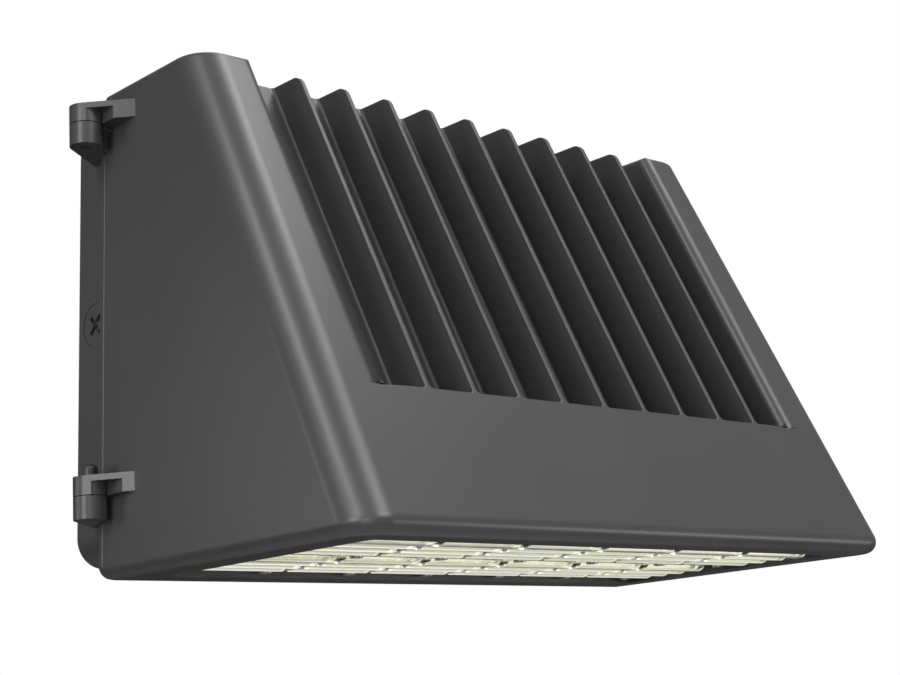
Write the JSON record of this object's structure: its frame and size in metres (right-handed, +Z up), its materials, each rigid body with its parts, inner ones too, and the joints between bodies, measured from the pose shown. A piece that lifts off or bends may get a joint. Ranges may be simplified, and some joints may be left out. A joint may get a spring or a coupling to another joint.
{
  "type": "wall pack light",
  "caption": "Outdoor LED wall pack light: dark grey finned die-cast door with underside lenses, hinged on the left of a shallow wall box and closed by captive screws.",
  "frame": {"origin": "centre of the four wall bolt holes, on the back face that sits on the wall", "axes": "+X to the right seen from the front, +Y into the wall, +Z up; the light stands out along -Y"},
  "size_m": [0.3819, 0.2257, 0.238],
  "materials": {
    "housing_paint": "dark grey powder coat, fine texture, satin",
    "seal_rubber": "matte black silicone",
    "plated_steel": "zinc plated",
    "black_steel": "black oxide",
    "ground_green": "green plated screw",
    "terminal_nylon": "moulded nylon",
    "board_white": "white solder mask",
    "chip_phosphor": "yellow phosphor",
    "lens_clear": "clear moulded acrylic",
    "driver_case": "satin",
    "surge_case": "potted plastic"
  },
  "bodies": {
    "back": {"back_box": "housing_paint", "box_gasket": "seal_rubber", "conduit_plug_left": "housing_paint", "conduit_plug_right": "housing_paint", "conduit_plug_bottom": "housing_paint", "wire_grommet": "seal_rubber", "ground_screw": "ground_green", "terminal_block": "terminal_nylon", "terminal_screws": "plated_steel", "hinge_pin_lower": "black_steel", "hinge_pin_upper": "black_steel"},
    "door": {"door_casting": "housing_paint", "lens_gasket": "seal_rubber", "led_board_rear": "board_white", "led_board_front": "board_white", "led_chips": "chip_phosphor", "lens_rear_1": "lens_clear", "lens_rear_2": "lens_clear", "lens_rear_3": "lens_clear", "lens_rear_4": "lens_clear", "lens_rear_5": "lens_clear", "lens_rear_6": "lens_clear", "lens_front_1": "lens_clear", "lens_front_2": "lens_clear", "lens_front_3": "lens_clear", "lens_front_4": "lens_clear", "lens_front_5": "lens_clear", "lens_front_6": "lens_clear", "lens_screws": "plated_steel", "led_driver": "driver_case", "surge_protector": "surge_case", "gear_screws": "plated_steel"},
    "screw_lower": {"closing_screw_lower": "plated_steel"},
    "screw_upper": {"closing_screw_upper": "plated_steel"}
  },
  "joints": [
    {"name": "door_hinge", "type": "hinge", "parent": "back", "child": "door", "pos_m": [-0.1825, -0.0385, 0], "axis": [0, 0, -1], "range_deg": [0, 100]},
    {"name": "closing_screw_lower_slide", "type": "slide", "parent": "door", "child": "screw_lower", "axis": [0, 1, 0], "range_m": [0, 0.008]},
    {"name": "closing_screw_upper_slide", "type": "slide", "parent": "door", "child": "screw_upper", "axis": [0, 1, 0], "range_m": [0, 0.008]}
  ]
}
